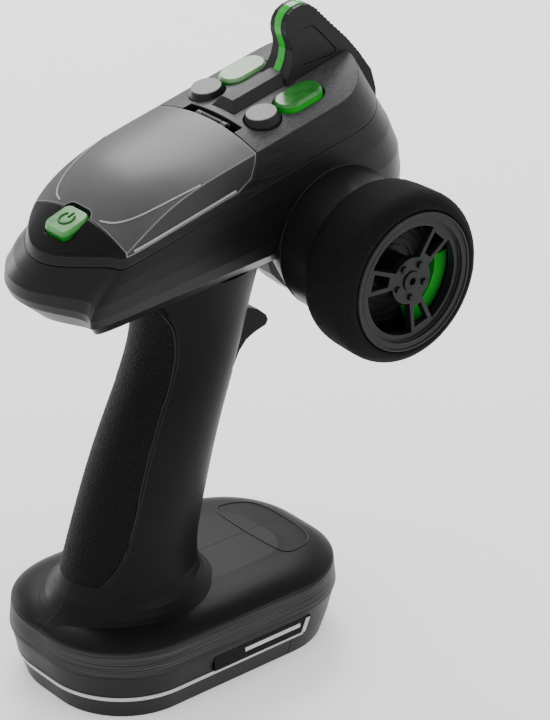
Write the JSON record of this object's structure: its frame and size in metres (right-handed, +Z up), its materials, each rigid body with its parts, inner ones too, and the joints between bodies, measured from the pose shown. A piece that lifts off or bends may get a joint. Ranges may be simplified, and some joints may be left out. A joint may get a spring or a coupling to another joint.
{
  "type": "pistol-grip radio transmitter controller",
  "caption": "Pistol-grip radio transmitter with a sprung foam steering wheel, trigger, hinged smoked lid, push buttons, trim rockers and a battery base.",
  "frame": {"origin": "centre of the flat face that the base rests on", "axes": "+X towards the steering wheel side, +Y forward, away from the palm, +Z up"},
  "size_m": [0.1036, 0.1488, 0.2204],
  "materials": {
    "shell_black": "satin black moulded plastic",
    "deck_grey": "brushed dark grey",
    "lid_smoke": "smoked translucent plastic",
    "gloss_black": "glossy black",
    "grip_rubber": "pebbled rubber",
    "green_clear": "translucent green",
    "green_pale": "pale green",
    "button_grey": "grey satin",
    "foam": "grainy foam rubber",
    "gunmetal": "dark anodised",
    "steel": "bright steel",
    "silver": "silver plated plastic",
    "board_green": "circuit board",
    "cell_label": "wrapped cell",
    "white_plastic": "white plastic",
    "red_plastic": "red plastic"
  },
  "bodies": {
    "case": {"handle_right": "shell_black", "handle_left": "shell_black", "grip_rubber": "grip_rubber", "grip_front_strip": "grip_rubber", "head_lower_shell": "shell_black", "head_top_cover": "deck_grey", "lid_hinge_barrel": "shell_black", "lid_hinge_pin": "steel", "rear_surround": "gloss_black", "rocker_pins": "steel", "deck_board": "board_green", "tact_switches": "shell_black", "antenna_fin": "shell_black", "fin_light_strip": "green_clear", "fin_inlays": "gloss_black", "antenna_rod": "white_plastic", "wheel_boss": "shell_black", "bearing_bush": "steel", "steering_spring": "steel", "steering_sensor": "shell_black", "trigger_pin": "steel", "trigger_brackets": "shell_black", "trigger_spring": "steel", "throttle_sensor": "shell_black", "base_tray": "shell_black", "side_plate": "gloss_black", "silver_trim": "silver", "battery_cells": "cell_label", "battery_holder": "shell_black", "battery_contacts": "steel", "base_board": "board_green", "buzzer": "gloss_black", "lid_panel": "shell_black", "trim_board": "board_green", "main_board": "board_green", "case_screws": "steel"},
    "steering_wheel": {"foam_tyre": "foam", "wheel_rim": "gunmetal", "lug_bolts": "gloss_black", "hub_screw": "steel", "brake_disc": "gloss_black", "brake_caliper": "green_clear", "steering_shaft": "steel", "centring_arm": "white_plastic"},
    "trigger": {"trigger_blade": "shell_black", "trigger_pad": "grip_rubber"},
    "lid": {"lid": "lid_smoke"},
    "power_button": {"power_button": "green_pale"},
    "push_button_right": {"push_button_right": "button_grey"},
    "push_button_left": {"push_button_left": "button_grey"},
    "trim_rocker_right": {"trim_rocker_right": "green_clear"},
    "trim_rocker_left": {"trim_rocker_left": "green_pale"},
    "trim_dial_1": {"trim_dial_1": "red_plastic"},
    "trim_dial_2": {"trim_dial_2": "button_grey"},
    "trim_dial_3": {"trim_dial_3": "button_grey"},
    "trim_dial_4": {"trim_dial_4": "red_plastic"},
    "reverse_switch_1": {"reverse_switch_1": "white_plastic"},
    "reverse_switch_2": {"reverse_switch_2": "white_plastic"},
    "battery_door": {"battery_door": "shell_black"}
  },
  "joints": [
    {"name": "steering_turn", "type": "hinge", "parent": "case", "child": "steering_wheel", "pos_m": [0.054, 0.0472, 0.1466], "axis": [1, 0, 0], "range_deg": [-35, 35], "stiffness_Nm_per_rad": 0.12},
    {"name": "trigger_pull", "type": "hinge", "parent": "case", "child": "trigger", "pos_m": [0, 0.052, 0.151], "axis": [1, 0, 0], "range_deg": [-20, 11], "stiffness_Nm_per_rad": 0.12},
    {"name": "lid_hinge", "type": "hinge", "parent": "case", "child": "lid", "pos_m": [0, 0.0188, 0.1886], "axis": [-1, 0, 0], "range_deg": [0, 85]},
    {"name": "power_press", "type": "slide", "parent": "case", "child": "power_button", "axis": [0, 0.309, -0.9511], "range_m": [0, 0.001], "stiffness_N_per_m": 1200},
    {"name": "button_press_right", "type": "slide", "parent": "case", "child": "push_button_right", "axis": [0, 0.2079, -0.9781], "range_m": [0, 0.0012], "stiffness_N_per_m": 1200},
    {"name": "button_press_left", "type": "slide", "parent": "case", "child": "push_button_left", "axis": [0, 0.2079, -0.9781], "range_m": [0, 0.0012], "stiffness_N_per_m": 1200},
    {"name": "rocker_tilt_right", "type": "hinge", "parent": "case", "child": "trim_rocker_right", "pos_m": [0.014, 0.04392, 0.19005], "axis": [1, 0, 0], "range_deg": [-4, 4], "stiffness_Nm_per_rad": 0.1},
    {"name": "rocker_tilt_left", "type": "hinge", "parent": "case", "child": "trim_rocker_left", "pos_m": [-0.014, 0.04392, 0.19005], "axis": [1, 0, 0], "range_deg": [-4, 4], "stiffness_Nm_per_rad": 0.1},
    {"name": "dial_turn_1", "type": "hinge", "parent": "case", "child": "trim_dial_1", "pos_m": [-0.009, 0.00196, 0.17312], "axis": [0, -0.2079, 0.9781], "range_deg": [-135, 135]},
    {"name": "dial_turn_2", "type": "hinge", "parent": "case", "child": "trim_dial_2", "pos_m": [0.009, 0.00196, 0.17312], "axis": [0, -0.2079, 0.9781], "range_deg": [-135, 135]},
    {"name": "dial_turn_3", "type": "hinge", "parent": "case", "child": "trim_dial_3", "pos_m": [-0.009, -0.01272, 0.17], "axis": [0, -0.2079, 0.9781], "range_deg": [-135, 135]},
    {"name": "dial_turn_4", "type": "hinge", "parent": "case", "child": "trim_dial_4", "pos_m": [0.009, -0.01272, 0.17], "axis": [0, -0.2079, 0.9781], "range_deg": [-135, 135]},
    {"name": "reverse_slide_1", "type": "slide", "parent": "case", "child": "reverse_switch_1", "axis": [0, 0.9781, 0.2079], "range_m": [0, 0.0024]},
    {"name": "reverse_slide_2", "type": "slide", "parent": "case", "child": "reverse_switch_2", "axis": [0, 0.9781, 0.2079], "range_m": [0, 0.0024]},
    {"name": "door_slide", "type": "slide", "parent": "case", "child": "battery_door", "axis": [0, -1, 0], "range_m": [0, 0.008]}
  ]
}
